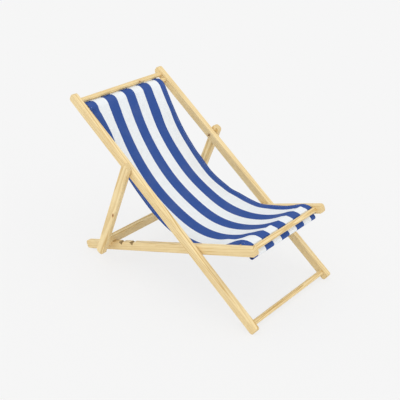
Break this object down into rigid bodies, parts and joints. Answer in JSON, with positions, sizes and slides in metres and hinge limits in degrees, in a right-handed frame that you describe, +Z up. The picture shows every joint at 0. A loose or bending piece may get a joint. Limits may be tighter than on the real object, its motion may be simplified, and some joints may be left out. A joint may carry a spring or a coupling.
{
  "type": "folding beach chair",
  "caption": "Folding wooden beach chair with crossed pine frames, a prop frame that drops into notched seat rails, and a striped canvas sling hung between paired crossbars.",
  "frame": {"origin": "on the floor, under the middle of the open chair's box", "axes": "+Z up, -Y towards the chair's front, X across the chair; left (-X) and right (+X) as seen from the front"},
  "size_m": [0.586, 0.9884, 0.7405],
  "materials": {
    "pine": "planed and oiled",
    "striped_canvas": "woven blue and white stripes",
    "bronzed_steel": "bronzed",
    "nylon": "natural"
  },
  "bodies": {
    "back_frame": {"top_crossbar": "pine", "top_sling_bar": "pine", "foot_stretcher": "pine", "top_hem_dowel": "pine", "sling": "striped_canvas", "back_rail_left": "pine", "seat_pivot_bolt_left": "bronzed_steel", "seat_pivot_washer_left": "bronzed_steel", "seat_pivot_spacer_left": "nylon", "seat_pivot_insert_left": "bronzed_steel", "back_rail_right": "pine", "seat_pivot_bolt_right": "bronzed_steel", "seat_pivot_washer_right": "bronzed_steel", "seat_pivot_spacer_right": "nylon", "seat_pivot_insert_right": "bronzed_steel"},
    "seat_frame": {"front_crossbar": "pine", "front_sling_bar": "pine", "front_hem_dowel": "pine", "seat_rail_left": "pine", "seat_rail_right": "pine"},
    "prop_frame": {"prop_bar": "pine", "prop_strut_left": "pine", "prop_pivot_bolt_left": "bronzed_steel", "prop_pivot_washer_left": "bronzed_steel", "prop_pivot_spacer_left": "nylon", "prop_pivot_insert_left": "bronzed_steel", "prop_strut_right": "pine", "prop_pivot_bolt_right": "bronzed_steel", "prop_pivot_washer_right": "bronzed_steel", "prop_pivot_spacer_right": "nylon", "prop_pivot_insert_right": "bronzed_steel"}
  },
  "joints": [
    {"name": "seat_fold", "type": "hinge", "parent": "back_frame", "child": "seat_frame", "pos_m": [0, -0.17258, 0.24185], "axis": [1, 0, 0], "range_deg": [-118, 0], "deforming": ["sling"]},
    {"name": "prop_swing", "type": "hinge", "parent": "back_frame", "child": "prop_frame", "pos_m": [0, 0.16423, 0.49108], "axis": [1, 0, 0], "range_deg": [0, 98]}
  ]
}
